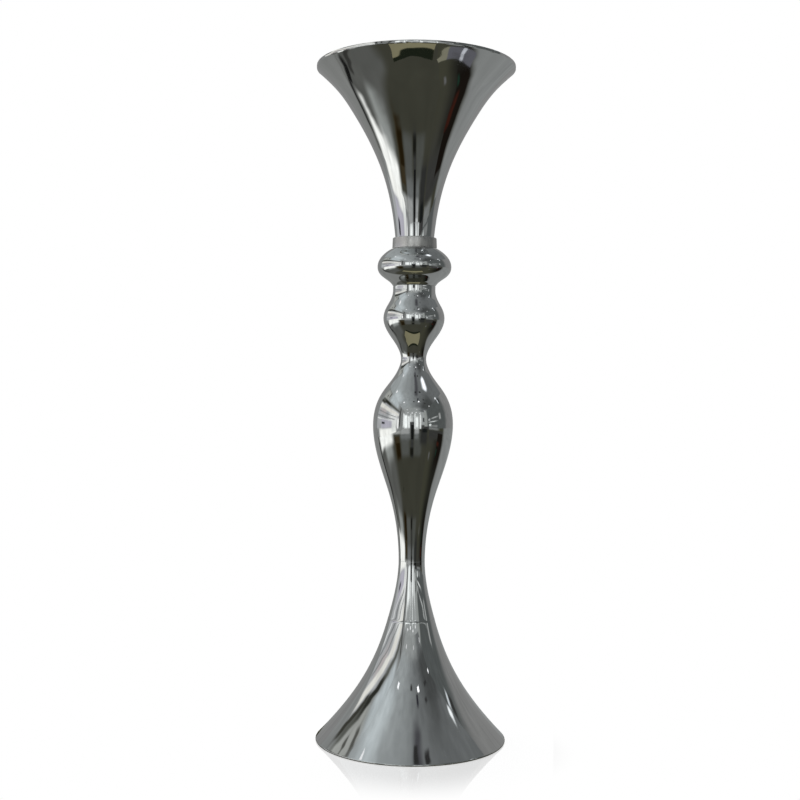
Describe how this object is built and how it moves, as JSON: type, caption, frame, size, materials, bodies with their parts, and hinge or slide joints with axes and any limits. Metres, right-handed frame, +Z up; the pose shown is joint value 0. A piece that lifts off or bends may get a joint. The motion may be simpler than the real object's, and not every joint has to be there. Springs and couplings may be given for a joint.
{
  "type": "metal vase",
  "caption": "Tall chromed trumpet vase for flowers: a flared horn screws onto a baluster stem of spun shells with knops, standing on a hollow flared foot.",
  "frame": {"origin": "centre of the flat ring that the foot stands on", "axes": "+Z up along the vase's axis, through the rod and the horn; X and Y are free, because the vase is round"},
  "size_m": [0.2188, 0.2188, 0.7414],
  "materials": {
    "chrome": "bright chrome plate on polished steel sheet",
    "zinc_steel": "zinc-plated steel fasteners",
    "plain_steel": "pressed and turned steel, thinly plated",
    "rubber": "matt black rubber"
  },
  "bodies": {
    "stem": {"foot_bell": "chrome", "foot_cone": "chrome", "baluster": "chrome", "lower_knop": "chrome", "upper_knop": "chrome", "collar": "chrome", "tie_rod": "zinc_steel", "bottom_nut": "zinc_steel", "bottom_spring_washer": "plain_steel", "bottom_washer": "zinc_steel", "foot_plate": "plain_steel", "ankle_bush": "plain_steel", "neck_bush": "plain_steel", "waist_cup": "plain_steel", "stack_washer": "zinc_steel", "stack_nut": "zinc_steel"},
    "ring": {"horn_ring": "rubber"},
    "horn": {"horn": "chrome", "horn_floor": "plain_steel", "horn_nut": "zinc_steel"}
  },
  "joints": [
    {"name": "horn_rise", "type": "slide", "parent": "stem", "child": "ring", "axis": [0, 0, 1], "range_m": [0, 0.008]},
    {"name": "horn_unscrew", "type": "hinge", "parent": "ring", "child": "horn", "pos_m": [0, 0, 0.553], "axis": [0, 0, 1], "range_deg": [0, 2304]}
  ],
  "couplings": [
    {"joint": "horn_rise", "follows": "horn_unscrew", "m_per_rad": 0.00019894}
  ]
}
